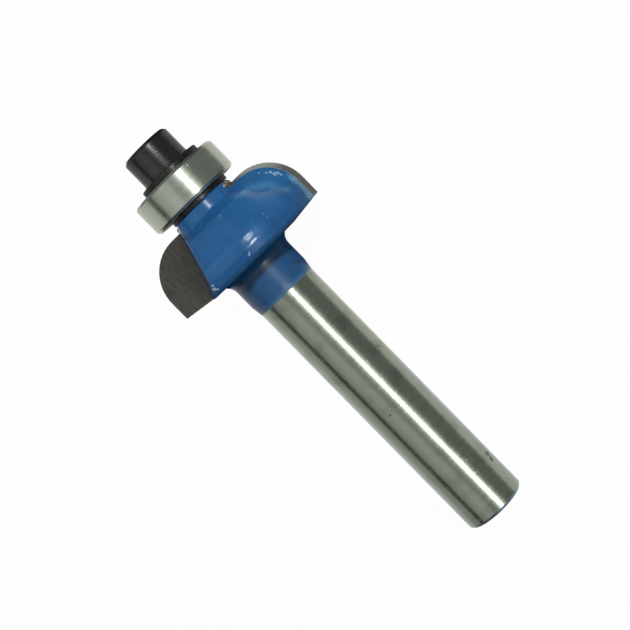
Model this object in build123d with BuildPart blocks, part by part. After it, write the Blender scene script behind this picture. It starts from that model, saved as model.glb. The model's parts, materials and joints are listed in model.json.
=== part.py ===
"""Piloted cove bit: a small two-winged router bit with a ball bearing on its tip.

The steel body is one turned and milled piece: shank, neck, relieved wings and a pilot stub.
Two ground carbide plates are brazed into seats in the wings. The bearing sits on the stub
between two washers and is held by a socket-head cap screw.

Stations run along the tool's axis from tip to shank, in millimetres, and station 0 is the
bearing's shank-side face. The bit lies as it comes to rest on a flat surface: on one cutting
corner, on the trailing corner of the other wing's heel and on the rim of the shank's end.
"""
import os
from math import atan, atan2, cos, degrees, hypot, radians, sin, sqrt, tan

from build123d import *

os.makedirs("parts", exist_ok=True)

# Shank and neck
shank_diameter = 6.35
ground_length = 28.1        # bare parallel shank, the part that a collet grips
shank_chamfer = 0.28
neck_diameter = 6.7         # unground neck behind the head
neck_length = 3.1           # from the head's back to the start of the neck's taper
neck_taper_length = 1.3
head_fillet = 1.2           # radius of the hollow between the neck and the head's back
head_fillet_angle = 60      # how far round that hollow runs

# Cutting profile, a quarter round with a short parallel land
cutting_diameter = 17.3
cove_radius = 4.2
land_length = 2.0
carbide_thickness = 1.6
carbide_relief = 10         # clearance behind every cutting edge, degrees
carbide_back_slope = 7      # the plate's shank-side edge, degrees off square
braze_gap = 0.1
plate_front_edge = 1.1      # straight front of the plate, between the round and its inner corner

# Steel head, turned about the tool's axis
collar_diameter = 7.2
collar_length = 1.15        # from the rear washer to the head's steep front
front_length = 0.8          # along the axis
front_diameter = 10.6       # where the steep front gives way to the cone
cone_angle = 49             # half angle of the cone between the front and the land
head_land_length = 1.0
back_taper_angle = 20       # the head narrows again behind its land
back_cone_length = 0.42     # low cone behind the cutters
back_cone_diameter = 11.4
plate_setback = 0.6         # from the rear washer to the carbide's front edge
backing_depth = 2.1         # steel behind each plate follows the cutting profile, then runs in
backing_slope = 42          # degrees
gullet_slope = 18           # the gullet's corner runs outwards towards the shank, degrees
gullet_lean = 15.6          # the gullet's wall leans open, degrees

# Pilot stub and tapped hole
bearing_bore = 4.7625
seat_clearance = 0.01
stub_recess = 0.15          # stub ends this far inside the bearing, so that the washer clamps it
stub_chamfer = 0.2
thread_diameter = 3.175
thread_clearance = 0.02
tap_run_on = 1.0            # thread past the screw's tip
drill_point_angle = 59      # half angle

# Guide bearing
bearing_diameter = 9.525
bearing_width = 3.175
bearing_corner = 0.25
ball_diameter = 1.5875
ball_count = 8
groove_ease = 0.032         # radius of the rings' grooves over the balls' radius
running_play = 0.015
land_spacing = 1.0          # between the lands of the two rings
cage_clearance = 0.22       # from the cage to either ring's land
cage_web = 0.08             # cage left at each side of a pocket
pocket_clearance = 0.04
shield_thickness = 0.2
shield_clearance = 0.1      # from the cage to the shields
shield_gap = 0.08           # running gap round the inner ring
shield_lip = 0.28           # depth of the shield's seat in the outer ring
snap_wire = 0.18
snap_groove_depth = 0.06
snap_opening = 24           # degrees left open in the snap ring

# Washers
washer_diameter = 6.62
washer_edge = 0.06
washer_contact = 0.02       # each washer has dropped sideways until only this gap is left
front_washer_thickness = 0.65
front_washer_play = 0.14    # round the screw
rear_washer_thickness = 0.5
rear_washer_play = 0.17     # round the stub

# Cap screw
screw_head_diameter = 5.15
screw_head_height = 3.1
screw_head_chamfer = 0.3
screw_base_flare = 0.07
screw_base_length = 0.35
screw_length = 9.5
screw_point_chamfer = 0.35
hex_width = 2.38
hex_depth = 1.55
hex_lead_in = 0.12

# Stations and radii worked out from the sizes above
shoulder = rear_washer_thickness
plate_front = shoulder + plate_setback
cove_centre = plate_front + cove_radius
land_end = cove_centre + land_length
head_back = land_end + back_cone_length
fillet_end = head_back + head_fillet * sin(radians(head_fillet_angle))
taper_start = head_back + neck_length
ground_start = taper_start + neck_taper_length
shank_end = ground_start + ground_length
stub_tip = stub_recess - bearing_width
screw_seat = -bearing_width - front_washer_thickness
screw_top = screw_seat - screw_head_height
screw_tip = screw_seat + screw_length

shank_radius = shank_diameter / 2
neck_radius = neck_diameter / 2
collar_radius = collar_diameter / 2
cutting_radius = cutting_diameter / 2
cove_centre_radius = cutting_radius - cove_radius
gullet_root = cove_centre_radius - plate_front_edge
relief_drop = carbide_thickness * tan(radians(carbide_relief))
seat_depth = carbide_thickness + braze_gap
gullet_growth = tan(radians(gullet_slope))
wall_lean = tan(radians(gullet_lean))


def gullet_corner(station):
    """Distance from the axis to the corner between a wing's face and its gullet's wall."""
    return gullet_root + gullet_growth * (station - plate_front)


# The head's land is flush with the back of the carbide, and its front stands back from the round.
blank_radius = hypot(cutting_radius - relief_drop, seat_depth)
cone_start = shoulder + collar_length + front_length
head_land_start = cone_start + (blank_radius - front_diameter / 2) / tan(radians(cone_angle))
head_land_end = head_land_start + head_land_length
back_radius = blank_radius - (land_end - head_land_end) * tan(radians(back_taper_angle))

# The resting position. The corner where a gullet's wall meets the head, behind the carbide's end:
lean_factor = 1 + wall_lean**2
wall_base = gullet_corner(land_end)
trail_y = (sqrt(lean_factor * back_radius**2 - wall_base**2) + wall_lean * wall_base) / lean_factor
trail_x = wall_base - wall_lean * trail_y
# That corner, the other wing's cutting corner and the rim of the shank's end touch the surface.
rest_roll = atan2(trail_y, cutting_radius - trail_x)
rest_height = cutting_radius * sin(rest_roll)
rest_tilt = atan((rest_height - shank_radius) / (shank_end - shank_chamfer - land_end))

end_overhang = (screw_head_diameter / 2 - screw_head_chamfer - shank_radius + shank_chamfer) * sin(rest_tilt)
origin_x = ((shank_end + screw_top) * cos(rest_tilt) - end_overhang) / 2
origin_z = rest_height * cos(rest_tilt) + land_end * sin(rest_tilt)

tool = Plane(
    origin=(origin_x, 0, origin_z),
    x_dir=(-sin(rest_tilt) * sin(rest_roll), cos(rest_roll), cos(rest_tilt) * sin(rest_roll)),
    z_dir=(-cos(rest_tilt), 0, -sin(rest_tilt)),
)
tool_axis = Axis(tool.origin, tool.z_dir)


def wing_plane(wing):
    """Plane of a wing's cutting face: x outwards, y along the axis to the shank, z out of the face."""
    side = 1 if wing == 1 else -1
    return Plane(origin=tool.origin, x_dir=tool.x_dir * side, z_dir=-tool.y_dir * side)


section = wing_plane(1)     # sketches of turned pieces: x is the radius, y the station


def save(piece, name):
    """Label a finished piece and write it to its own file."""
    piece.part.label = name
    export_step(piece.part, f"parts/{name}.step")


def plate_outline(plane, inset):
    """Outline of a carbide plate. The cutting edges move in by inset, the inner edge stays."""
    front = plate_front + inset
    outer = cutting_radius - inset
    back_inner = land_end + (outer - gullet_corner(land_end)) * tan(radians(carbide_back_slope)) - inset
    with BuildSketch(plane) as outline:
        with BuildLine():
            quarter_round = CenterArc((cove_centre_radius, cove_centre), cove_radius - inset, 270, 90)
            Polyline(quarter_round @ 1, (outer, land_end - inset), (gullet_corner(back_inner), back_inner),
                     (gullet_corner(front), front), quarter_round @ 0)
        make_face()
    return outline.sketch.face()


def backing_outline(plane, inset):
    """Outline of the steel behind a plate: the cutting profile moved in by inset."""
    with BuildSketch(plane) as outline:
        with BuildLine():
            quarter_round = CenterArc((cove_centre_radius, cove_centre), cove_radius - inset, 270, 90)
            Polyline(quarter_round @ 1, (cutting_radius - inset, land_end), (0, land_end),
                     (0, plate_front + inset), quarter_round @ 0)
        make_face()
    return outline.sketch.face()


with BuildPart() as turned_blank:
    fillet_radius = neck_radius + head_fillet * (1 - cos(radians(head_fillet_angle)))
    stub_radius = bearing_bore / 2 - seat_clearance
    with BuildSketch(section):
        with BuildLine():
            Polyline(
                (0, stub_tip), (stub_radius - stub_chamfer, stub_tip),
                (stub_radius, stub_tip + stub_chamfer), (stub_radius, shoulder),
                (collar_radius, shoulder), (collar_radius, shoulder + collar_length),
                (front_diameter / 2, cone_start), (blank_radius, head_land_start),
                (blank_radius, head_land_end), (back_radius, land_end),
                (back_cone_diameter / 2, head_back), (fillet_radius, head_back),
            )
            CenterArc((neck_radius + head_fillet, fillet_end), head_fillet, 180, head_fillet_angle)
            Polyline(
                (neck_radius, fillet_end), (neck_radius, taper_start),
                (shank_radius, ground_start), (shank_radius, shank_end - shank_chamfer),
                (shank_radius - shank_chamfer, shank_end), (0, shank_end), (0, stub_tip),
            )
        make_face()
    revolve(axis=tool_axis)

with BuildPart() as bit_body:
    add(turned_blank.part)

    # backing of the plates
    backing_run_in = relief_drop + backing_depth * tan(radians(backing_slope))
    for wing in (1, 2):
        seat = wing_plane(wing).offset(-seat_depth)
        loft([backing_outline(seat, relief_drop), backing_outline(seat.offset(-backing_depth), backing_run_in)],
             ruled=True)

    # gullets and carbide seats
    clear_of_head = cutting_radius + 1
    before_head = shoulder - stub_chamfer
    behind_head = head_back + head_fillet / 2
    for wing in (1, 2):
        face = wing_plane(wing)
        with BuildSketch(face):
            with BuildLine():
                Polyline(
                    (gullet_corner(before_head), before_head), (clear_of_head, before_head),
                    (clear_of_head, behind_head), (gullet_corner(behind_head), behind_head), close=True,
                )
            make_face()
        extrude(amount=clear_of_head, dir=face.z_dir - face.x_dir * wall_lean, mode=Mode.SUBTRACT)
        with BuildSketch(face):
            with BuildLine():
                Polyline(
                    (gullet_corner(before_head) - braze_gap, before_head), (clear_of_head, before_head),
                    (clear_of_head, behind_head), (gullet_corner(behind_head) - braze_gap, behind_head),
                    close=True,
                )
            make_face()
        extrude(amount=-seat_depth, mode=Mode.SUBTRACT)

    # tapped hole with its drill point
    hole_radius = thread_diameter / 2 + thread_clearance
    hole_end = screw_tip + tap_run_on
    with BuildSketch(section):
        with BuildLine():
            Polyline(
                (0, stub_tip), (hole_radius, stub_tip), (hole_radius, hole_end),
                (0, hole_end + hole_radius / tan(radians(drill_point_angle))), close=True,
            )
        make_face()
    revolve(axis=tool_axis, mode=Mode.SUBTRACT)
save(bit_body, "bit_body")

for wing in (1, 2):
    face = wing_plane(wing)
    plate_back = face.offset(-carbide_thickness)
    with BuildPart() as carbide_tip:
        loft([plate_outline(face, 0), plate_outline(plate_back, relief_drop)], ruled=True)
    save(carbide_tip, f"carbide_tip_{wing}")

    # braze: a film along the plate's inner edge, as far as there is steel, and one under the plate
    with BuildPart() as braze:
        film_front = plate_front + relief_drop
        film_back = land_end
        with BuildSketch(face):
            with BuildLine():
                Polyline(
                    (gullet_corner(film_front) - braze_gap, film_front), (gullet_corner(film_front), film_front),
                    (gullet_corner(film_back), film_back), (gullet_corner(film_back) - braze_gap, film_back),
                    close=True,
                )
            make_face()
        extrude(amount=-seat_depth)
        add(turned_blank.part, mode=Mode.INTERSECT)
        extrude(plate_outline(plate_back, relief_drop), amount=braze_gap, dir=-face.z_dir)
    save(braze, f"braze_{wing}")

# Guide bearing
bearing_middle = -bearing_width / 2
ball_radius = ball_diameter / 2
pitch_radius = (bearing_bore + bearing_diameter) / 4
inner_land_radius = pitch_radius - land_spacing / 2
outer_land_radius = pitch_radius + land_spacing / 2
groove_radius = ball_radius + groove_ease
groove_shift = groove_ease - running_play
cage_thickness = land_spacing - 2 * cage_clearance
cage_width = ball_diameter + 2 * (pocket_clearance + cage_web)
shield_inside = cage_width / 2 + shield_clearance
shield_outside = shield_inside + shield_thickness
shield_bore_radius = inner_land_radius + shield_gap
shield_seat_radius = outer_land_radius + shield_lip
snap_radius = shield_seat_radius + snap_groove_depth


def ring_sketch(inner, outer, near, far):
    """Rectangle of a ring's section between two radii and two stations, in either order."""
    with Locations(((inner + outer) / 2, (near + far) / 2)):
        Rectangle(outer - inner, abs(far - near))


with BuildPart() as outer_ring:
    with BuildSketch(section) as ring:
        ring_sketch(outer_land_radius, bearing_diameter / 2, -bearing_width, 0)
        chamfer(ring.vertices().sort_by(Axis.X)[-2:], bearing_corner)
        with Locations((pitch_radius - groove_shift, bearing_middle)):
            Circle(groove_radius, mode=Mode.SUBTRACT)
    revolve(axis=tool_axis)
    for side in (-1, 1):
        shield_face = bearing_middle + side * shield_outside
        with BuildSketch(section):
            ring_sketch(0, shield_seat_radius, bearing_middle + side * shield_inside,
                        bearing_middle + side * bearing_width / 2)
            ring_sketch(0, snap_radius, shield_face, shield_face + side * snap_wire)
        revolve(axis=tool_axis, mode=Mode.SUBTRACT)
save(outer_ring, "bearing_outer_ring")

with BuildPart() as inner_ring:
    with BuildSketch(section) as ring:
        ring_sketch(bearing_bore / 2, inner_land_radius, -bearing_width, 0)
        with Locations((pitch_radius + groove_shift, bearing_middle)):
            Circle(groove_radius, mode=Mode.SUBTRACT)
    revolve(axis=tool_axis)
save(inner_ring, "bearing_inner_ring")

ball_plane = tool.offset(bearing_middle)
ball_places = PolarLocations(pitch_radius, ball_count).local_locations
for number, place in enumerate(ball_places, start=1):
    centre = ball_plane.from_local_coords(place.position)
    with BuildPart(Plane(origin=centre, x_dir=tool.x_dir, z_dir=tool.z_dir)) as ball:
        Sphere(ball_radius)
    save(ball, f"bearing_ball_{number}")

with BuildPart(ball_plane) as cage:
    with BuildSketch(section):
        ring_sketch(pitch_radius - cage_thickness / 2, pitch_radius + cage_thickness / 2,
                    bearing_middle - cage_width / 2, bearing_middle + cage_width / 2)
    revolve(axis=tool_axis)
    with PolarLocations(pitch_radius, ball_count):
        Cylinder(ball_radius + pocket_clearance, ball_diameter, rotation=(0, 90, 0), mode=Mode.SUBTRACT)
save(cage, "bearing_cage")

for number, side in ((1, -1), (2, 1)):
    shield_face = bearing_middle + side * shield_outside
    with BuildPart() as shield:
        with BuildSketch(section):
            ring_sketch(shield_bore_radius, shield_seat_radius,
                        bearing_middle + side * shield_inside, shield_face)
        revolve(axis=tool_axis)
    save(shield, f"bearing_shield_{number}")

    with BuildPart() as snap_ring:
        with BuildSketch(section):
            ring_sketch(snap_radius - snap_wire, snap_radius, shield_face, shield_face + side * snap_wire)
        revolve(axis=tool_axis, revolution_arc=360 - snap_opening)
    save(snap_ring, f"bearing_snap_ring_{number}")

# Washers, each a little off centre by its play
for name, station, thickness, passing_diameter, play in (
    ("front_washer", screw_seat, front_washer_thickness, thread_diameter, front_washer_play),
    ("rear_washer", 0, rear_washer_thickness, bearing_bore, rear_washer_play),
):
    with BuildPart() as washer:
        with BuildSketch(tool.offset(station)):
            with Locations((washer_contact - play, 0)):
                Circle(washer_diameter / 2)
                Circle(passing_diameter / 2 + play, mode=Mode.SUBTRACT)
        extrude(amount=thickness)
        rims = washer.edges().filter_by(GeomType.CIRCLE).sort_by(SortBy.RADIUS)[-2:]
        chamfer(rims, washer_edge)
    save(washer, name)

# Socket-head cap screw
with BuildPart() as cap_screw:
    head_radius = screw_head_diameter / 2
    base_radius = head_radius + screw_base_flare
    screw_radius = thread_diameter / 2
    with BuildSketch(section):
        with BuildLine():
            Polyline(
                (0, screw_top), (head_radius - screw_head_chamfer, screw_top),
                (head_radius, screw_top + screw_head_chamfer), (head_radius, screw_seat - screw_base_length),
                (base_radius, screw_seat), (screw_radius, screw_seat),
                (screw_radius, screw_tip - screw_point_chamfer),
                (screw_radius - screw_point_chamfer, screw_tip), (0, screw_tip), close=True,
            )
        make_face()
    revolve(axis=tool_axis)
    socket_mouth = tool.offset(screw_top)
    with BuildSketch(socket_mouth):
        RegularPolygon(hex_width / 2, 6, major_radius=False)
    extrude(amount=hex_depth, mode=Mode.SUBTRACT)
    # drilled bottom of the socket and the broken edge of its mouth
    hex_radius = hex_width / 2
    hex_corner_radius = hex_radius / cos(radians(30))
    socket_end = screw_top + hex_depth
    with BuildSketch(section):
        with BuildLine():
            Polyline((0, socket_end), (hex_radius, socket_end),
                     (0, socket_end + hex_radius / tan(radians(drill_point_angle))), close=True)
        make_face()
        with BuildLine():
            Polyline((0, screw_top), (hex_corner_radius, screw_top),
                     (hex_radius, screw_top + hex_lead_in), (0, screw_top + hex_lead_in), close=True)
        make_face()
    revolve(axis=tool_axis, mode=Mode.SUBTRACT)
save(cap_screw, "cap_screw")

print(f"rest: roll {degrees(rest_roll):.2f}, tilt {degrees(rest_tilt):.2f}, axis height {origin_z:.3f}")
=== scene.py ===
# %% [markdown]
# # A piloted cove bit, dressed in Blender
#
# A router bit is a small turned steel tool: a ground shank, a painted head with two carbide
# cutters, and a ball bearing on the tip that rolls along the work. The sizes come from a packed
# CAD model, so nothing here is measured again. This file loads that model, rebuilds the pieces
# whose edges need softening, gives each surface its finish, and sets the studio round them.

# %% Load the frame
import json
from math import cos, pi, radians, sin

import bmesh
import bpy
from mathutils import Matrix, Vector
from mathutils import noise as smooth_noise


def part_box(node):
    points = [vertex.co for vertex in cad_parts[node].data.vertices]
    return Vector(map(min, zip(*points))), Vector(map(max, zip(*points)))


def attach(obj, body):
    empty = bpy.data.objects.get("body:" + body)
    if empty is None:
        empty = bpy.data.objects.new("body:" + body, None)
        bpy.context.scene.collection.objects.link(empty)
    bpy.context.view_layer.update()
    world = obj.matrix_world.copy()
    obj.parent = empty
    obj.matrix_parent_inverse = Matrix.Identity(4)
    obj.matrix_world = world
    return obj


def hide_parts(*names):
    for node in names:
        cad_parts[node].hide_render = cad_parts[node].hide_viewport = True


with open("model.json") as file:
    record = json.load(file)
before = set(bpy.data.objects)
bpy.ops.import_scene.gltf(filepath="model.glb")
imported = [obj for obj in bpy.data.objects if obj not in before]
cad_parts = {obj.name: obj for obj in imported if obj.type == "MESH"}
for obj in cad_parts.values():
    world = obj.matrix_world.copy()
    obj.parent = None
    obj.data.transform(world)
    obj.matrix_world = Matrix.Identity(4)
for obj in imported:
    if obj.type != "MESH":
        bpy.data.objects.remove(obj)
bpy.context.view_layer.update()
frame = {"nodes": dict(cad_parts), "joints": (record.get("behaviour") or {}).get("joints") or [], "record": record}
MM = 0.001

# %% [markdown]
# ## The tool's own axes
#
# The bit lies on its side, so the world's axes are no help for a pattern that should run round
# the shank. The record says where the shank is gripped and where the bearing turns. From those
# two, and from the flat face of a cutter, come three axes: x to the first cutting edge, z from
# the tip to the shank, and y square to both. Stations along z start at the bearing's back face.

# %% Find the axes
BEARING_WIDTH = 3.175
HEAD_MIDDLE = 4             # station that lamps and cards are placed from

shank_mount = next(m for m in frame["record"]["mounts"] if m["name"] == "shank")
spin_joint = next(j for j in frame["joints"] if j["name"] == "guide_spin")


def middle_of(node):
    """Middle of a node's box, in metres."""
    low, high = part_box(node)
    return (low + high) / 2


def cutting_face_normal(node):
    """Direction of a cutter's largest flat face, from its largest triangle."""
    return max(frame["nodes"][node].data.polygons, key=lambda p: p.area).normal.copy()


z_axis = Vector(shank_mount["axis"]).normalized()
face_normal = cutting_face_normal("carbide_tip_1")
x_axis = z_axis.cross(face_normal).normalized()
if x_axis.dot(middle_of("carbide_tip_1") - middle_of("carbide_tip_2")) < 0:
    x_axis.negate()
y_axis = z_axis.cross(x_axis)
tool_origin = Vector(spin_joint["pos_m"]) + z_axis * BEARING_WIDTH / 2 * MM
tool_matrix = Matrix.Translation(tool_origin) @ Matrix((x_axis, y_axis, z_axis)).transposed().to_4x4()
print("tool origin in mm:", [round(c / MM, 3) for c in tool_origin])


def at(x, y, station):
    """World place of a point given in the tool's own millimetres."""
    return tool_matrix @ Vector((x * MM, y * MM, station * MM))


to_tool = tool_matrix.inverted()
shank_end = max((to_tool @ v.co).z for v in frame["nodes"]["bit_body"].data.vertices) / MM
print("the shank ends at station", round(shank_end, 2))

# %% [markdown]
# ## Camera
#
# The bit is seen a little from above, with the camera rolled so that the shank runs down to the
# right. A long lens keeps the shank from tapering too much. The camera is placed by where it
# looks, how far off it stands, and three angles: azimuth, elevation and roll.

# %% Place the camera
CAMERA_TARGET = Vector((1.382, -0.152, 5.700)) * MM
CAMERA_DISTANCE = 147.67 * MM
CAMERA_AZIMUTH = 1.233      # degrees round the object
CAMERA_ELEVATION = 24.466
CAMERA_ROLL = -128.817
LENS = 90.46                # mm, on a sensor 36 mm wide

towards_camera = Vector((
    sin(radians(CAMERA_AZIMUTH)) * cos(radians(CAMERA_ELEVATION)),
    -cos(radians(CAMERA_AZIMUTH)) * cos(radians(CAMERA_ELEVATION)),
    sin(radians(CAMERA_ELEVATION)),
))
camera_data = bpy.data.cameras.new("camera")
camera_data.lens = LENS
camera_data.sensor_width = 36
camera_data.clip_start = 0.01
camera = bpy.data.objects.new("camera", camera_data)
bpy.context.scene.collection.objects.link(camera)
aim = towards_camera.to_track_quat("Z", "Y").to_matrix().to_4x4()
roll = Matrix.Rotation(radians(CAMERA_ROLL), 4, "Z")
camera.matrix_world = Matrix.Translation(CAMERA_TARGET + towards_camera * CAMERA_DISTANCE) @ aim @ roll
bpy.context.scene.camera = camera
bpy.context.scene.view_settings.view_transform = "Standard"
print("camera at", [round(c / MM, 1) for c in camera.location])

# %% [markdown]
# ## Materials: a small toolbox
#
# Every finish starts from the tool's own axes. A Mapping node of the Texture kind undoes a place
# and a turn, so it changes Object coordinates into millimetres in those axes. A pattern written
# in them stays on the piece when it moves. Helpers keep each finish short: one makes a material,
# one adds a noise, one adds a ramp, one does a sum, one marks single places, and one turns a
# height into a bump. They also take the world, which has a node tree of its own.

# %% Node helpers


def new_material(name, **sockets):
    """A material with one Principled shader, whose plain values are set on its own sockets."""
    material = bpy.data.materials.new(name)
    material.use_nodes = True
    shader = material.node_tree.nodes["Principled BSDF"]
    for socket, value in sockets.items():
        shader.inputs[socket.replace("_", " ")].default_value = value
    return material, shader


def add_node(material, kind, **settings):
    """A new node of a kind, with its settings."""
    node = material.node_tree.nodes.new(kind)
    for setting, value in settings.items():
        setattr(node, setting, value)
    return node


def join(material, source, target):
    """A link from one socket to another."""
    material.node_tree.links.new(source, target)


def tool_coordinates(material, stretch=(1, 1, 1)):
    """Millimetres in the tool's axes, each stretched for the pattern that reads them."""
    place = add_node(material, "ShaderNodeTexCoord")
    in_tool = add_node(material, "ShaderNodeMapping", vector_type="TEXTURE")
    in_tool.inputs["Location"].default_value = tool_matrix.translation
    in_tool.inputs["Rotation"].default_value = tool_matrix.to_euler()
    in_tool.inputs["Scale"].default_value = (MM, MM, MM)
    join(material, place.outputs["Object"], in_tool.inputs["Vector"])
    stretched = add_node(material, "ShaderNodeMapping", vector_type="POINT")
    stretched.inputs["Scale"].default_value = stretch
    join(material, in_tool.outputs["Vector"], stretched.inputs["Vector"])
    return stretched.outputs["Vector"]


def noise(material, scale, detail=3, roughness=0.5, stretch=(1, 1, 1)):
    """Noise in the tool's millimetres, from 0 to 1."""
    texture = add_node(material, "ShaderNodeTexNoise")
    texture.inputs["Scale"].default_value = scale
    texture.inputs["Detail"].default_value = detail
    texture.inputs["Roughness"].default_value = roughness
    join(material, tool_coordinates(material, stretch), texture.inputs["Vector"])
    return texture.outputs["Fac"]


def ramp(material, source, low, high, low_at=0.0, high_at=1.0):
    """A change of colour, or of grey, as a value goes from low_at to high_at."""
    node = add_node(material, "ShaderNodeMapRange", clamp=True)
    node.inputs["From Min"].default_value = low_at
    node.inputs["From Max"].default_value = high_at
    join(material, source, node.inputs["Value"])
    if isinstance(low, (int, float)):
        node.inputs["To Min"].default_value = low
        node.inputs["To Max"].default_value = high
        return node.outputs["Result"]
    return blend_colours(material, node.outputs["Result"], low, high)


def blend_colours(material, factor, low, high):
    """Two colours, or two sockets that carry one, mixed by a factor."""
    mix = add_node(material, "ShaderNodeMix", data_type="RGBA")
    join(material, factor, mix.inputs[0])
    for source, target in ((low, mix.inputs[6]), (high, mix.inputs[7])):
        if isinstance(source, bpy.types.NodeSocket):
            join(material, source, target)
        else:
            target.default_value = (*source, 1)
    return mix.outputs[2]


def calculate(material, operation, first, second=None, clamp=False):
    """One sum on sockets or numbers."""
    node = add_node(material, "ShaderNodeMath", operation=operation, use_clamp=clamp)
    for source, target in zip((first, second), node.inputs):
        if isinstance(source, bpy.types.NodeSocket):
            join(material, source, target)
        elif source is not None:
            target.default_value = source
    return node.outputs[0]


def product(material, *factors):
    """Several factors multiplied."""
    total = factors[0]
    for factor in factors[1:]:
        total = calculate(material, "MULTIPLY", total, factor)
    return total


def between(material, source, rise, fall):
    """1 inside a range, fading over the pair of values rise at its start and fall at its end."""
    return product(material, ramp(material, source, 0.0, 1.0, *rise),
                   ramp(material, source, 1.0, 0.0, *fall))


def tool_axes(material):
    """The x, y and station of a point, each as a socket."""
    place = add_node(material, "ShaderNodeSeparateXYZ")
    join(material, tool_coordinates(material), place.inputs[0])
    return place.outputs[:]


def near(material, places, raggedness=0.35, softness=0.3):
    """1 at each place and 0 beyond its own radius, with ragged rims. Places are (x, y, z, radius)."""
    ragged = noise(material, 5, detail=2)
    vector = tool_coordinates(material)
    total = None
    for x, y, z, radius in places:
        gap = add_node(material, "ShaderNodeVectorMath", operation="DISTANCE")
        join(material, vector, gap.inputs[0])
        gap.inputs[1].default_value = (x, y, z)
        reach = ramp(material, ragged, radius * (1 - raggedness), radius * (1 + raggedness), 0.3, 0.7)
        depth = calculate(material, "SUBTRACT", reach, gap.outputs["Value"])
        inside = calculate(material, "DIVIDE", depth, radius * softness, clamp=True)
        total = inside if total is None else calculate(material, "MAXIMUM", total, inside)
    return total


def bump(material, shader, height, depth):
    """Lets a height from 0 to 1 move the surface by depth millimetres."""
    node = add_node(material, "ShaderNodeBump")
    node.inputs["Strength"].default_value = 1
    node.inputs["Distance"].default_value = depth * MM
    join(material, height, node.inputs["Height"])
    join(material, node.outputs["Normal"], shader.inputs["Normal"])


def along_axis(material, shader):
    """Stretches the gloss along the tool, as grinding lines that run round it do."""
    direction = add_node(material, "ShaderNodeCombineXYZ")
    for target, value in zip(direction.inputs, z_axis):
        target.default_value = value
    turned = add_node(material, "ShaderNodeVectorTransform", vector_type="VECTOR",
                      convert_from="OBJECT", convert_to="WORLD")
    join(material, direction.outputs[0], turned.inputs[0])
    join(material, turned.outputs[0], shader.inputs["Tangent"])


# %% [markdown]
# ## Finishes
#
# Ground steel is a metal whose scratches all run one way, round the tool. They smear a reflection
# lengthwise, so the shank shows long bands of light and dark. The Principled shader does this
# with its anisotropy, and a noise that is stretched round the tool adds the scratches themselves.

# %% Ground steel
END_PAINT = (0.02, 0.12, 0.22)
END_CHAMFER = 0.28          # millimetres at the shank's end, painted as far as the end face
SHANK_MARKS = (             # small dark marks: x, y, station and radius
    (0.55, -3.13, 26.59, 0.13), (-2.86, -1.39, 21.34, 0.16), (-3.15, -0.42, 21.44, 0.14),
    (-3.06, -0.86, 35.74, 0.34), (-3.0, -1.05, 36.3, 0.3), (-2.11, -2.37, 33.13, 0.07),
)
LINES_STRETCH = (0.06, 0.06, 1)
NICK_DEPTH = -4.0           # times the height of the grinding lines


def ground_steel(name, colour, roughness, anisotropy, worn, marks=(), painted_from=None):
    """Steel ground round the axis, with faint lines, small darker marks and perhaps a painted end."""
    material, shader = new_material(name, Metallic=1.0, Anisotropic=anisotropy)
    lines = noise(material, 9, detail=4, stretch=LINES_STRETCH)
    cloud = noise(material, 0.55, detail=3)
    tone = blend_colours(material, ramp(material, lines, 0.0, 1.0, 0.3, 0.7),
                         [c * 0.9 for c in colour], [c * 1.08 for c in colour])
    stain = ramp(material, cloud, 0.0, worn, 0.52, 0.75)
    tone = blend_colours(material, stain, tone, [c * 0.55 for c in colour])
    if marks:
        tone = blend_colours(material, near(material, marks), tone, [c * 0.3 for c in colour])
    if painted_from:
        painted = ramp(material, tool_axes(material)[2], 0.0, 0.8, painted_from, painted_from + 0.06)
        tone = blend_colours(material, painted, tone, END_PAINT)
    join(material, tone, shader.inputs["Base Color"])
    join(material, ramp(material, lines, roughness * 0.85, roughness * 1.2, 0.3, 0.7),
         shader.inputs["Roughness"])
    nicks = ramp(material, noise(material, 2.6, detail=3, roughness=0.6), 0.0, 1.0, 0.64, 0.7)
    bump(material, shader, calculate(material, "ADD", lines, product(material, nicks, NICK_DEPTH)), 0.0012)
    along_axis(material, shader)
    return material


shank_steel = ground_steel("ground_shank", (0.272, 0.308, 0.246), 0.34, 0.8, 0.5, SHANK_MARKS,
                           painted_from=shank_end - END_CHAMFER)
race_steel = ground_steel("ground_race", (0.355, 0.39, 0.325), 0.33, 0.75, 0.2)
sheet_steel = ground_steel("pressed_sheet", (0.42, 0.42, 0.4), 0.4, 0.3, 0.3)
print("steels:", shank_steel.name, race_steel.name, sheet_steel.name)
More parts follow.
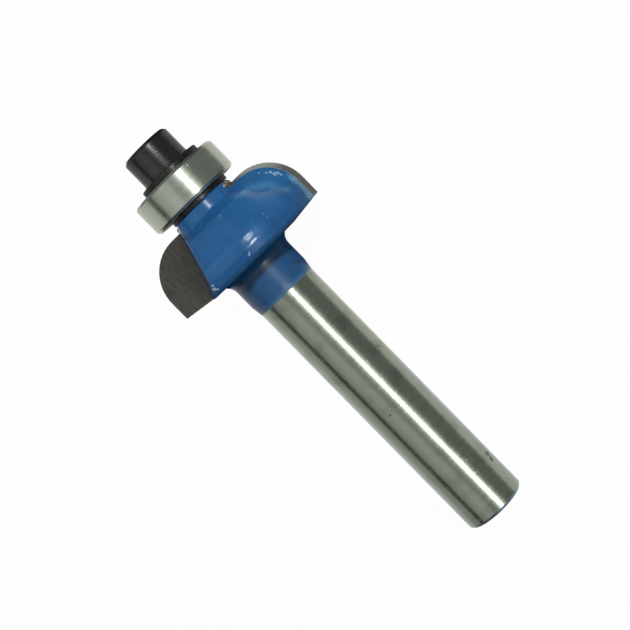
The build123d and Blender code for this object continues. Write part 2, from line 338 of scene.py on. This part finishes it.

# %% [markdown]
# The head and the neck were dipped in thick blue enamel. It is glossy and a little wavy, which
# breaks up its highlights. A slow noise varies its blue, and a finer one, as a bump of a few
# microns, gives the waves. Then come the places where the colour differs: thin at the neck's end,
# flecked at a seam and chipped at the back corner, with painted light and shade besides: a painted
# reflection in a crescent at the foot of each backing and along each wing's land, painted light on
# the head's back face and painted shade on the neck. Folding the two wings onto one lets one rule
# serve both.

# %% Enamel
PAINT_END = 11.87           # station where the enamel stops
ENAMEL_BLUE = (0.016, 0.100, 0.262)
ENAMEL_DEEP = (0.013, 0.082, 0.220)
ENAMEL_NECK_PAINTED_SHADE = (0.013, 0.062, 0.155)    # painted shade: the neck is written darker where the head shades it
# painted light: lighter blue on the head's back face, which gets little light
ENAMEL_BACK_PAINTED_LIGHT = (0.05, 0.17, 0.38)
# painted reflection: lighter blue for a crescent at the foot of each backing
ENAMEL_CRESCENT_REFLECTION = (0.06, 0.2, 0.36)
# painted reflection: lighter blue along the rim of each wing's land
ENAMEL_LAND_REFLECTION = (0.11, 0.27, 0.38)
ENAMEL_THIN_END = (0.06, 0.18, 0.27)
CHIPS = (                   # bare or filled places at the head's back corner and edge
    (2.76, -7.94, 6.64, 0.12), (2.9, -7.75, 6.99, 0.2), (2.72, -7.73, 7.21, 0.18),
    (-1.61, -8.14, 6.93, 0.12), (-1.75, -8.16, 6.78, 0.07),
)
SPECKS = (
    (-1.57, -5.29, 2.64, 0.09), (1.4, -3.42, 1.69, 0.09), (-3.75, -7.17, 4.88, 0.07),
    (-4.87, -6.95, 5.23, 0.08), (-4.88, -7.01, 5.67, 0.07), (0.03, -3.35, 10.95, 0.06),
)
SMUDGES = ((-3.04, -1.42, 10.54, 0.26), (-2.8, -1.84, 10.3, 0.22))
SEAM_FLECKS = (             # thin places along the seam with a cutter's relief
    (-6.3, -2.17, 2.33, 0.1), (-6.55, -2.3, 2.5, 0.08), (-6.85, -2.2, 2.78, 0.13),
    (-7.1, -2.1, 3.05, 0.17), (-7.3, -2.25, 3.3, 0.2), (-7.48, -2.1, 3.55, 0.17),
    (-7.66, -2.15, 3.82, 0.13), (-7.25, -2.6, 3.35, 0.09),
)
CRESCENT = (                # painted reflection: a lighter crescent at the foot of one backing
    (-3.74, -3.71, 2.45), (-4.25, -3.45, 2.55), (-4.74, -3.2, 2.71), (-5.2, -3.25, 2.9),
    (-5.68, -3.32, 3.17), (-6.1, -3.3, 3.5), (-6.5, -3.29, 3.89), (-6.8, -3.45, 4.35),
    (-7.1, -3.66, 4.79), (-7.25, -3.95, 5.15),
)
CRESCENT_RADIUS = 0.75

enamel, enamel_shader = new_material("blue_enamel", IOR=1.34)
across, beside, station = tool_axes(enamel)
paint = ramp(enamel, noise(enamel, 0.35, detail=2), ENAMEL_DEEP, ENAMEL_BLUE, 0.35, 0.6)
# Painted shade: the neck is written darker from station 7.2 on, where the head shades its hollow.
paint = blend_colours(enamel, ramp(enamel, station, 0.0, 0.8, 7.2, 8.0), paint, ENAMEL_NECK_PAINTED_SHADE)

# Folded by half a turn, both cutters lie on the same side, with their backing at positive depth.
reach = calculate(enamel, "ABSOLUTE", across)
depth = product(enamel, beside, calculate(enamel, "SIGN", across))
reflection_crescents = [(x * side, y * side, z, CRESCENT_RADIUS) for side in (1, -1) for x, y, z in CRESCENT]
# Painted reflection: a lighter band along the outer rim of each wing's land.
land_reflection = product(enamel, ramp(enamel, reach, 0.0, 0.75, 7.88, 7.98),
                    ramp(enamel, depth, 1.0, 0.0, 2.35, 2.65),
                    between(enamel, station, (3.9, 4.8), (7.2, 7.35)))
coats_and_painted_light = (
    (product(enamel, near(enamel, SEAM_FLECKS, 0.7, 0.6), 0.8), (0.36, 0.5, 0.56)),
    # painted reflection along each land's rim
    (land_reflection, ENAMEL_LAND_REFLECTION),
    # painted reflection in a crescent at the foot of each backing
    (product(enamel, near(enamel, reflection_crescents, 0.1, 1.0), 0.6), ENAMEL_CRESCENT_REFLECTION),
    # painted light on the head's back face
    (between(enamel, station, (7.22, 7.32), (7.55, 7.7)), ENAMEL_BACK_PAINTED_LIGHT),
    (ramp(enamel, station, 0.0, 0.55, PAINT_END - 0.52, PAINT_END - 0.02), ENAMEL_THIN_END),
    (product(enamel, near(enamel, SMUDGES), 0.7), (0.02, 0.035, 0.045)),
    (product(enamel, near(enamel, SPECKS), 0.45), (0.3, 0.5, 0.62)),
    (product(enamel, near(enamel, CHIPS), 0.7), (0.45, 0.6, 0.68)),
)
for share, colour in coats_and_painted_light:
    paint = blend_colours(enamel, share, paint, colour)
join(enamel, paint, enamel_shader.inputs["Base Color"])

# The neck is duller than the head, and the back face has no gloss, so it stays blue edge on.
join(enamel, ramp(enamel, station, 0.2, 0.36, 7.2, 8.5), enamel_shader.inputs["Roughness"])
on_back = between(enamel, station, (7.15, 7.3), (8.0, 8.6))
join(enamel, ramp(enamel, on_back, 0.5, 0.0), enamel_shader.inputs["Specular IOR Level"])
waves = noise(enamel, 0.9, detail=2)
orange_peel = noise(enamel, 4.0, detail=2)
bump(enamel, enamel_shader, calculate(enamel, "ADD", waves, product(enamel, orange_peel, 0.2)), 0.025)
print("enamel coats:", len(coats_and_painted_light))

# %% [markdown]
# Tungsten carbide's flat faces are written nearly black, which is painted shade standing for the dark
# reflection they show; its relief flanks are grey. Both show the wheel's fine lines as a faint grain.
# The braze round it is a silvery gold alloy that ran and froze, so it is lumpy. The screw and the
# washers are blackened steel: dark, oily, and speckled where the black is thin.

# %% Carbide, braze and black steel
# Painted shade: the cutters' flat faces are written nearly black for the dark reflection they show.
carbide, carbide_shader = new_material("carbide_face_painted_shade", Metallic=1.0)
grain = noise(carbide, 3.2, detail=5, stretch=(1, 1, 0.25))
join(carbide, ramp(carbide, grain, (0.05, 0.05, 0.043), (0.09, 0.09, 0.08), 0.3, 0.7),
     carbide_shader.inputs["Base Color"])
join(carbide, ramp(carbide, grain, 0.38, 0.55, 0.3, 0.7), carbide_shader.inputs["Roughness"])
bump(carbide, carbide_shader, grain, 0.004)

flank, flank_shader = new_material("ground_flank", Metallic=1.0, Roughness=0.5)
wheel_lines = noise(flank, 6, detail=4, stretch=(0.3, 0.3, 1))
join(flank, ramp(flank, wheel_lines, (0.2, 0.225, 0.2), (0.32, 0.345, 0.31), 0.3, 0.7),
     flank_shader.inputs["Base Color"])
bump(flank, flank_shader, wheel_lines, 0.003)

frozen_braze, frozen_shader = new_material("frozen_braze", Metallic=0.8, Roughness=0.42)
mottle = noise(frozen_braze, 3, detail=3)
join(frozen_braze, ramp(frozen_braze, mottle, (0.13, 0.125, 0.105), (0.34, 0.35, 0.31), 0.35, 0.65),
     frozen_shader.inputs["Base Color"])

burnt_flux, flux_shader = new_material("burnt_flux", Roughness=0.6)
char = noise(burnt_flux, 3, detail=3)
join(burnt_flux, ramp(burnt_flux, char, (0.035, 0.022, 0.014), (0.12, 0.075, 0.05), 0.35, 0.65),
     flux_shader.inputs["Base Color"])

braze, braze_shader = new_material("braze_alloy", Metallic=1.0, Roughness=0.45)
lumps = noise(braze, 4, detail=3)
join(braze, ramp(braze, lumps, (0.34, 0.27, 0.15), (0.55, 0.46, 0.3), 0.35, 0.65),
     braze_shader.inputs["Base Color"])
bump(braze, braze_shader, lumps, 0.02)


def black_steel(name, roughness, speckle, oil):
    """Blackened steel: bare where the black is thin, and glossier the more oil is left on it."""
    material, shader = new_material(name, Metallic=0.75, Specular_Tint=(oil, oil, oil, 1),
                                    Coat_Weight=oil, Coat_Roughness=0.22)
    spots = noise(material, 7, detail=4, roughness=0.65)
    bare = ramp(material, spots, 0.0, speckle, 0.56, 0.72)
    join(material, blend_colours(material, bare, (0.022, 0.022, 0.021), (0.2, 0.2, 0.19)),
         shader.inputs["Base Color"])
    join(material, ramp(material, spots, roughness, roughness * 0.7, 0.3, 0.7), shader.inputs["Roughness"])
    bump(material, shader, spots, 0.01)
    return material


black_screw = black_steel("black_screw", 0.32, 0.45, oil=0.4)
black_washer = black_steel("black_washer", 0.5, 0.7, oil=0.15)
print("materials:", len(bpy.data.materials))

# %% [markdown]
# ## Pieces with softened edges
#
# A CAD mesh is loose triangles, so it shades as facets. A copy has its doubles merged and its
# flat triangles joined into whole faces. Then its edges can be told apart by angle: the gentle
# ones shade smooth, and the sharp ones get a small bevel, because no real edge is a perfect line.
# The enamel needs more: it rounds the head's turned rims a lot and the edges of its gullets a
# little, so each of its edges carries a weight, its share of the whole rounding.

# %% Rebuild a node as a smooth piece
FLAT_ANGLE = radians(0.4)
MERGE_DISTANCE = 0.0005 * MM
FINE_SEGMENTS = 5
PLAIN_SEGMENTS = 2


def smooth_piece(node, name, body, materials, edge=0.0, sharp=32, cut_at=None,
                 choose=None, weigh=None):
    """A merged copy of a node that shades smooth, with edges rounded by edge millimetres.

    choose gives a face its material's number, and weigh gives an edge its share of the rounding.
    """
    form = bmesh.new()
    form.from_mesh(frame["nodes"][node].data)
    bmesh.ops.remove_doubles(form, verts=form.verts, dist=MERGE_DISTANCE)
    if cut_at is not None:
        bmesh.ops.bisect_plane(form, geom=form.verts[:] + form.edges[:] + form.faces[:],
                               plane_co=at(0, 0, cut_at), plane_no=z_axis)
    for face in form.faces:
        face.smooth = True
        face.material_index = choose(face) if choose else 0
    bmesh.ops.dissolve_limit(form, angle_limit=FLAT_ANGLE, verts=form.verts, edges=form.edges,
                             delimit={"NORMAL", "MATERIAL"})
    weights = form.edges.layers.float.new("bevel_weight_edge")
    for line in form.edges:
        line.smooth = line.calc_face_angle(pi) < radians(sharp)
        line[weights] = 0.0 if line.smooth else (weigh(line) if weigh else 1.0)
    mesh = bpy.data.meshes.new(name)
    form.to_mesh(mesh)
    form.free()
    piece = bpy.data.objects.new(name, mesh)
    bpy.context.scene.collection.objects.link(piece)
    for material in materials:
        mesh.materials.append(material)
    if edge:
        rounding = piece.modifiers.new("soft_edges", "BEVEL")
        rounding.limit_method = "WEIGHT"
        rounding.width = edge * MM
        rounding.segments = FINE_SEGMENTS if weigh else PLAIN_SEGMENTS
        rounding.use_clamp_overlap = weigh is None
        rounding.harden_normals = True
    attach(piece, body)
    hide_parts(node)
    print(name, len(mesh.polygons), "faces")


def beyond_paint(face):
    """1 for a face on the bare shank, 0 for a painted one."""
    return int((to_tool @ face.calc_center_median()).z / MM > PAINT_END)


def is_flank(face):
    """1 for a cutter's relief flanks, 0 for its two flat faces."""
    return int(abs(face.normal.dot(face_normal)) < 0.5)


LAND_STATIONS = (5.0, 6.5)  # the head's widest part, where the enamel has flowed into a dome
LAND_SHARE = 1.0
RIM_SHARE = 0.6
GULLET_SHARE = 0.3          # where x and y differ in sign, as on the open side of a cutter
FINE_SHARE = 0.1            # where they don't, as on the backing's side
NECK_RADIUS = 3.3


def paint_rounding(line):
    """Share of the rounding: full at the land, less at other turned rims, least elsewhere."""
    first, second = (to_tool @ v.co / MM for v in line.verts)
    turned = abs(first.z - second.z) < 0.002 and abs(first.xy.length - second.xy.length) < 0.01
    if not turned or first.xy.length < NECK_RADIUS or first.z > PAINT_END:
        return GULLET_SHARE if first.x * first.y < 0 else FINE_SHARE
    return LAND_SHARE if LAND_STATIONS[0] < first.z < LAND_STATIONS[1] else RIM_SHARE


# %% [markdown]
# Every piece rides on its CAD body and takes the place of its CAD node, which is hidden.

# %% Dress every node
smooth_piece("bit_body", "painted_body", "bit", (enamel, shank_steel),
             edge=0.28, sharp=12, cut_at=PAINT_END, choose=beyond_paint, weigh=paint_rounding)
for wing in (1, 2):
    smooth_piece(f"carbide_tip_{wing}", f"cutter_{wing}", "bit", (carbide, flank),
                 edge=0.02, choose=is_flank)
    smooth_piece(f"braze_{wing}", f"braze_film_{wing}", "bit", (braze,))
smooth_piece("cap_screw", "socket_screw", "bit", (black_screw,), edge=0.12, sharp=25)
smooth_piece("front_washer", "tip_washer", "bit", (black_washer,), edge=0.03)
smooth_piece("rear_washer", "shoulder_washer", "bit", (black_washer,), edge=0.03)
smooth_piece("bearing_outer_ring", "outer_race", "guide", (race_steel,), edge=0.04)
smooth_piece("bearing_inner_ring", "inner_race", "bit", (race_steel,), edge=0.04)
smooth_piece("bearing_cage", "ball_cage", "ball_set", (sheet_steel,))
for side in (1, 2):
    smooth_piece(f"bearing_shield_{side}", f"shield_{side}", "guide", (sheet_steel,))
    smooth_piece(f"bearing_snap_ring_{side}", f"snap_ring_{side}", "guide", (sheet_steel,))
balls = [name for name in frame["nodes"] if name.startswith("bearing_ball_")]
for number, node in enumerate(sorted(balls), start=1):
    smooth_piece(node, f"race_ball_{number}", "ball_set", (race_steel,))

# %% [markdown]
# ## Braze beads
#
# Braze and its flux ran out at the inner front corner of each cutter and froze as small beads.
# A bead is balls that run together, their points pushed in and out by smooth noise. Each cutter
# has a grey metal bead against the collar and a darker one of burnt flux beside it.

# %% Braze beads
LUMPINESS = 0.22
LUMP_SCALE = 1.7


def bead(name, places, material, turned):
    """Lumps that have run together, from balls of (x, y, station, radius) in the tool's axes."""
    form = bmesh.new()
    for x, y, station, radius in places:
        ball = bmesh.ops.create_icosphere(form, subdivisions=4, radius=radius * MM)
        for point in ball["verts"]:
            direction = point.co.normalized()
            pattern = smooth_noise.noise(direction * LUMP_SCALE + Vector((x, y, station)))
            swell = 1 + LUMPINESS * pattern
            point.co = at(x * turned, y * turned, station) + point.co * swell
    for face in form.faces:
        face.smooth = True
    mesh = bpy.data.meshes.new(name)
    form.to_mesh(mesh)
    form.free()
    mesh.materials.append(material)
    piece = bpy.data.objects.new(name, mesh)
    bpy.context.scene.collection.objects.link(piece)
    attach(piece, "bit")
    print(name, len(mesh.polygons), "faces")


for wing, turned in ((1, 1), (2, -1)):
    bead(f"braze_bead_{wing}", ((-3.12, -1.55, 0.86, 0.34), (-3.3, -1.05, 0.92, 0.36)),
         frozen_braze, turned)
    bead(f"flux_bead_{wing}", ((-3.35, -1.35, 1.2, 0.34), (-3.6, -0.9, 1.45, 0.36)),
         burnt_flux, turned)

# %% [markdown]
# ## Studio
#
# Polished metal shows its surroundings, so the room matters as much as the lamps. The room is
# white wherever a camera or a reflection sees it, and gives a softer light to things. A pale
# floor carries the bit. It is plain white to the same rays, apart from a small share of its own
# shading, which keeps the bit's shadow.

# %% Floor and world


def stage_plane(name, corners, material):
    """A flat piece of the studio."""
    form = bmesh.new()
    form.faces.new([form.verts.new(corner) for corner in corners])
    mesh = bpy.data.meshes.new(name)
    form.to_mesh(mesh)
    form.free()
    mesh.materials.append(material)
    plane = bpy.data.objects.new(name, mesh)
    bpy.context.scene.collection.objects.link(plane)
    return plane


def directly_seen(material):
    """1 for rays from the camera, from a reflection or through glass, 0 for soft light."""
    rays = add_node(material, "ShaderNodeLightPath")
    seen = calculate(material, "MAXIMUM", rays.outputs["Is Camera Ray"], rays.outputs["Is Glossy Ray"])
    return calculate(material, "MAXIMUM", seen, rays.outputs["Is Transmission Ray"])


FLOOR_REACH = 4.0           # metres each way
FLOOR_TONE = 0.86
FLOOR_WHITENESS = 0.93      # share of plain white that a camera or a reflection sees
FLOOR_GLOW = 1.035
SOFT_LIGHT = 0.25           # share of the white room's light that falls on things

floor_material, floor_shader = new_material("pale_floor", Roughness=0.9)
floor_shader.inputs["Base Color"].default_value = (FLOOR_TONE, FLOOR_TONE, FLOOR_TONE, 1)
white = add_node(floor_material, "ShaderNodeEmission")
white.inputs["Strength"].default_value = FLOOR_GLOW
whiten = add_node(floor_material, "ShaderNodeMixShader")
whiteness = product(floor_material, directly_seen(floor_material), FLOOR_WHITENESS)
for source, target in zip((whiteness, floor_shader.outputs[0], white.outputs[0]), whiten.inputs):
    join(floor_material, source, target)
join(floor_material, whiten.outputs[0], floor_material.node_tree.nodes["Material Output"].inputs["Surface"])
stage_plane("floor", [(x * FLOOR_REACH, y * FLOOR_REACH, 0)
                      for x, y in ((-1, -1), (1, -1), (1, 1), (-1, 1))], floor_material)

world = bpy.data.worlds.new("white_room")
bpy.context.scene.world = world
world.use_nodes = True
room = world.node_tree.nodes["Background"]
room.inputs["Color"].default_value = (1, 1, 1, 1)
join(world, ramp(world, directly_seen(world), SOFT_LIGHT, 1.0), room.inputs["Strength"])
print("floor and room ready")

# %% [markdown]
# ## Cards and lamps
#
# Only reflections see the cards. Grey ones above put the long bands on the shank, dark ones at
# the tip's and the shank's side and on the floor keep rims and undersides from turning white.
#
# The lamps, and the cards above, are placed by an angle round the shank: 0 is level on the
# camera's side, 90 is straight up, and 180 is behind. A band's place on a round bar then follows
# from the angle. Two lamps make the enamel's two highlights and light nothing else. A third
# gives the light itself, with no highlight of its own. It stands towards the tip, so the head
# shades the hollow of the neck.

# %% Cards
CARD_DISTANCE = 0.6         # metres
CARD_REACH = 0.9

up_across = Vector((0, -1, 0)).cross(z_axis).normalized()
if up_across.z < 0:
    up_across.negate()


def round_shank(angle, distance, along=0.0):
    """A point at an angle round the shank, seen from the middle of the head, in metres."""
    out = Vector((0, -cos(radians(angle)), 0)) + up_across * sin(radians(angle))
    return at(0, 0, HEAD_MIDDLE) + out * distance - z_axis * along


def reflection_card(name, corners, tone):
    """A glowing card that only glossy rays see. It casts no shadow and gives no soft light."""
    material = bpy.data.materials.new(name)
    material.use_nodes = True
    material.node_tree.nodes.clear()
    light = add_node(material, "ShaderNodeEmission")
    light.inputs["Color"].default_value = (*tone, 1)
    output = add_node(material, "ShaderNodeOutputMaterial")
    join(material, light.outputs[0], output.inputs["Surface"])
    card = stage_plane(name, corners, material)
    card.visible_camera = False
    card.visible_diffuse = False
    card.visible_shadow = False
    card.visible_transmission = False


BAND_CARDS = (              # name, the angles it lies between, and its grey
    ("grey_card_17", 17, 45, 0.55), ("grey_card_45", 45, 73, 0.98), ("grey_card_73", 73, 95, 0.78),
    ("black_edge", 96, 112, 0.02),
)
for name, low, high, grey in BAND_CARDS:
    corners = [round_shank(angle, CARD_DISTANCE, reach) for angle, reach in (
        (low, -CARD_REACH), (low, CARD_REACH), (high, CARD_REACH), (high, -CARD_REACH))]
    reflection_card(name, corners, (grey, grey, grey))

FLAT_CARDS = (              # corners in millimetres, and the tone
    ("dark_floor_card", ((-90, -60, 0.1), (90, -60, 0.1), (90, -4.2, 0.1), (-90, -4.2, 0.1)),
     (0.3, 0.3, 0.3)),
    ("tip_side_card", ((500, -900, 20), (500, 900, 20), (500, 900, 900), (500, -900, 900)),
     (0.3, 0.3, 0.3)),
    ("tip_floor_card", ((26, -100, 0.1), (500, -400, 0.1), (500, 400, 0.1), (26, 100, 0.1)),
     (0.08, 0.08, 0.08)),
    ("shank_side_card", ((-450, -900, 1), (-450, 900, 1), (-450, 900, 900), (-450, -900, 900)),
     (0.04, 0.04, 0.04)),
    ("dark_back_card", ((5.5, -4, 0.12), (11, -4, 0.12), (11, 30, 0.12), (5.5, 30, 0.12)),
     (0.03, 0.07, 0.12)),
)
for name, corners, tone in FLAT_CARDS:
    reflection_card(name, [Vector(corner) * MM for corner in corners], tone)
print("cards:", len(BAND_CARDS) + len(FLAT_CARDS))

# %% Lamps
LAMP_DISTANCE = 0.4         # metres
LAMPS = (                   # name, angle, metres towards the tip, size, watts, what doesn't see it
    ("key_lamp", 10, 0.016, (0.07, 0.045), 0.4, "visible_diffuse"),
    ("rim_lamp", 10, -0.205, (0.09, 0.05), 0.85, "visible_diffuse"),
    ("shade_lamp", 14, 0.146, (0.03, 0.03), 1.45, "visible_glossy"),
)
for name, angle, along, size, power, hidden_from in LAMPS:
    data = bpy.data.lights.new(name, "AREA")
    data.shape = "RECTANGLE"
    data.size, data.size_y = size
    data.energy = power
    light = bpy.data.objects.new(name, data)
    bpy.context.scene.collection.objects.link(light)
    spot = round_shank(angle, LAMP_DISTANCE, along)
    aim = (spot - at(0, 0, HEAD_MIDDLE)).to_track_quat("Z", "Y").to_matrix().to_4x4()
    light.matrix_world = Matrix.Translation(spot) @ aim
    setattr(light, hidden_from, False)
print("lamps:", len(LAMPS))
